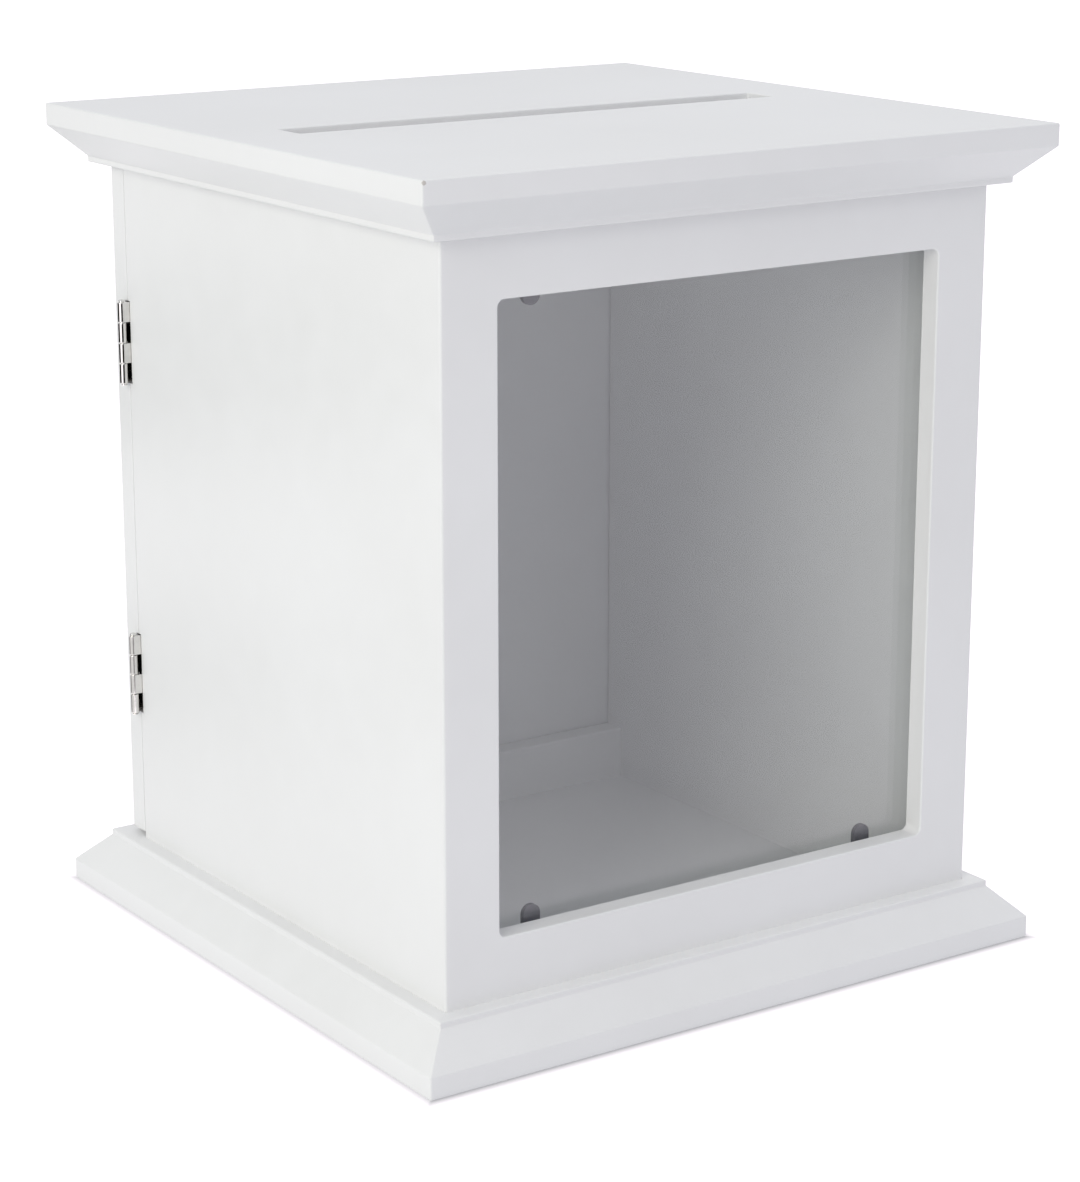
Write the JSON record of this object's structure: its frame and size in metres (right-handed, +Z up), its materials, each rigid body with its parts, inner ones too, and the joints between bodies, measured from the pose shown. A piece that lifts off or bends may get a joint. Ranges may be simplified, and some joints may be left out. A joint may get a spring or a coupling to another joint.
{
  "type": "tithe box",
  "caption": "White painted wooden collection box with moulded top and foot, a posting slot in the top, a window in the front and a hinged, locking rear door.",
  "frame": {"origin": "middle of the base board's underside, on the surface the box stands on", "axes": "+Z up, the window faces -Y, the door faces +Y and is hinged at its -X edge"},
  "size_m": [0.3298, 0.3232, 0.378],
  "materials": {
    "white_paint": "white satin lacquer on fibreboard",
    "clear_sheet": "clear polished sheet",
    "grey_plastic": "moulded grey plastic",
    "bright_nickel": "bright nickel plate",
    "zinc_steel": "zinc plated steel"
  },
  "bodies": {
    "carcass": {"top_board": "white_paint", "base_board": "white_paint", "front_panel": "white_paint", "left_side_panel": "white_paint", "right_side_panel": "white_paint", "rear_top_rail": "white_paint", "rear_bottom_rail": "white_paint", "cornice_front": "white_paint", "cornice_right": "white_paint", "cornice_back": "white_paint", "cornice_left": "white_paint", "plinth_front": "white_paint", "plinth_right": "white_paint", "plinth_back": "white_paint", "plinth_left": "white_paint", "window_pane": "clear_sheet", "pane_clip_1": "grey_plastic", "pane_clip_2": "grey_plastic", "pane_clip_3": "grey_plastic", "pane_clip_4": "grey_plastic", "pane_clip_screw_1": "zinc_steel", "pane_clip_screw_2": "zinc_steel", "pane_clip_screw_3": "zinc_steel", "pane_clip_screw_4": "zinc_steel", "upper_hinge_body_leaf": "bright_nickel", "upper_hinge_pin": "bright_nickel", "lower_hinge_body_leaf": "bright_nickel", "lower_hinge_pin": "bright_nickel", "upper_hinge_body_screw_1": "bright_nickel", "upper_hinge_body_screw_2": "bright_nickel", "lower_hinge_body_screw_1": "bright_nickel", "lower_hinge_body_screw_2": "bright_nickel"},
    "door": {"rear_door": "white_paint", "upper_hinge_door_leaf": "bright_nickel", "lower_hinge_door_leaf": "bright_nickel", "upper_hinge_door_screw_1": "bright_nickel", "upper_hinge_door_screw_2": "bright_nickel", "lower_hinge_door_screw_1": "bright_nickel", "lower_hinge_door_screw_2": "bright_nickel", "lock_housing": "bright_nickel", "lock_nut": "zinc_steel"},
    "plug": {"lock_plug": "bright_nickel", "lock_cam": "zinc_steel", "lock_cam_screw": "zinc_steel"},
    "key": {"door_key": "bright_nickel"}
  },
  "joints": [
    {"name": "door_hinge", "type": "hinge", "parent": "carcass", "child": "door", "pos_m": [-0.1464, 0.1276, 0.1892], "axis": [0, 0, 1], "range_deg": [0, 205]},
    {"name": "lock_turn", "type": "hinge", "parent": "door", "child": "plug", "pos_m": [0, 0.1424, 0.32778], "axis": [0, -1, 0], "range_deg": [0, 90]},
    {"name": "key_slide", "type": "slide", "parent": "plug", "child": "key", "axis": [0, 1, 0], "range_m": [0, 0.018]}
  ]
}
